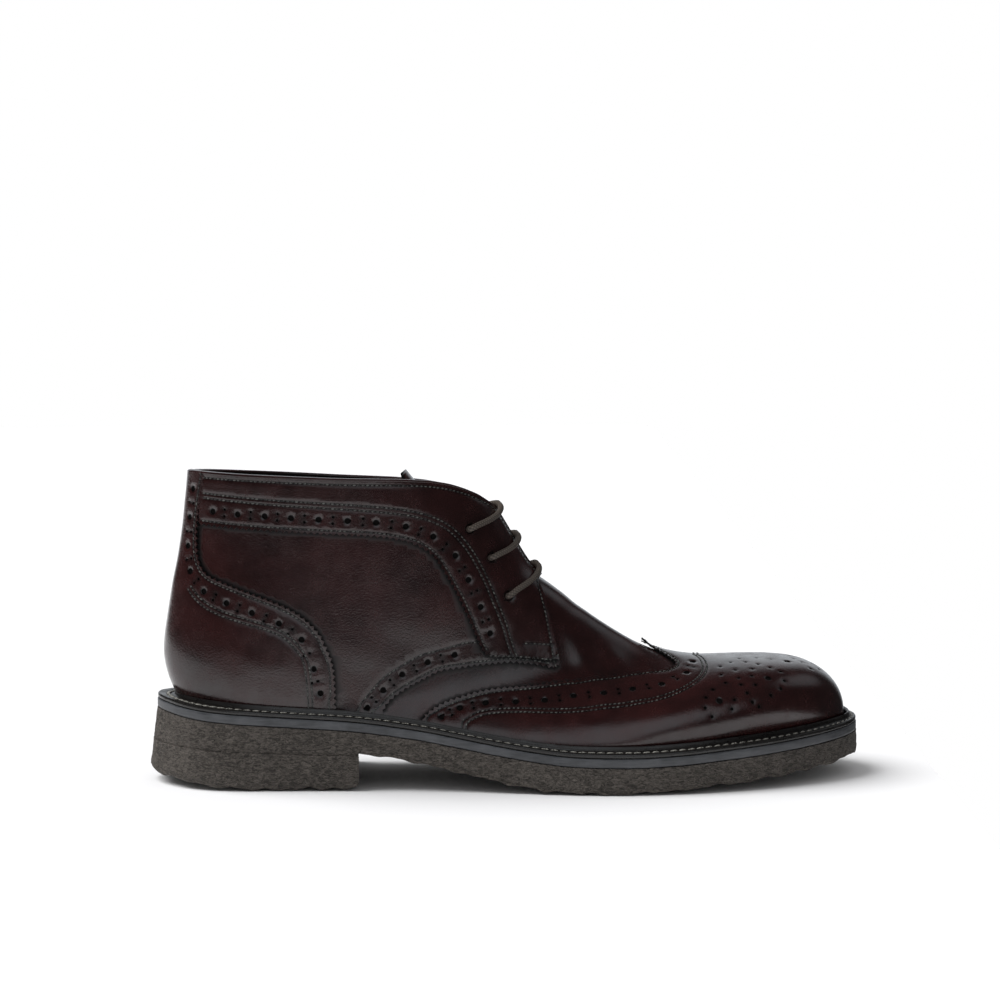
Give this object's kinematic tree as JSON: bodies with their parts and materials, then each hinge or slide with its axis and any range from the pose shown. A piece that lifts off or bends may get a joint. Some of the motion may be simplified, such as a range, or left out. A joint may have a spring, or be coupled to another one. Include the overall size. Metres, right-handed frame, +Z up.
{
  "type": "chukka boot",
  "caption": "Wing-tip brogue chukka boot for the right foot, oxblood leather upper on a storm welt and thick crepe sole.",
  "frame": {"origin": "on the floor under the middle of the sole's length and width", "axes": "+X towards the toe, +Y towards the inner side of the foot, +Z up"},
  "size_m": [0.3071, 0.1103, 0.1347],
  "materials": {
    "crepe": "dark brown-grey natural crepe rubber with a pebbled side",
    "slate_rubber": "smooth slate-black midsole edge",
    "black_leather": "black storm welt, glossy, with a row of stitches",
    "tan_leather": "plain leather insole board",
    "oxblood_leather": "polished dark oxblood calf with fine grain and brogue punching",
    "taupe_cord": "round woven taupe lace"
  },
  "bodies": {
    "root": {"outsole": "crepe", "heel": "crepe", "midsole": "slate_rubber", "welt": "black_leather", "insole": "tan_leather", "upper": "oxblood_leather", "outer_facing": "oxblood_leather", "inner_facing": "oxblood_leather", "heel_counter": "oxblood_leather", "toe_cap": "oxblood_leather", "tongue": "oxblood_leather", "laces": "taupe_cord"}
  },
  "joints": []
}
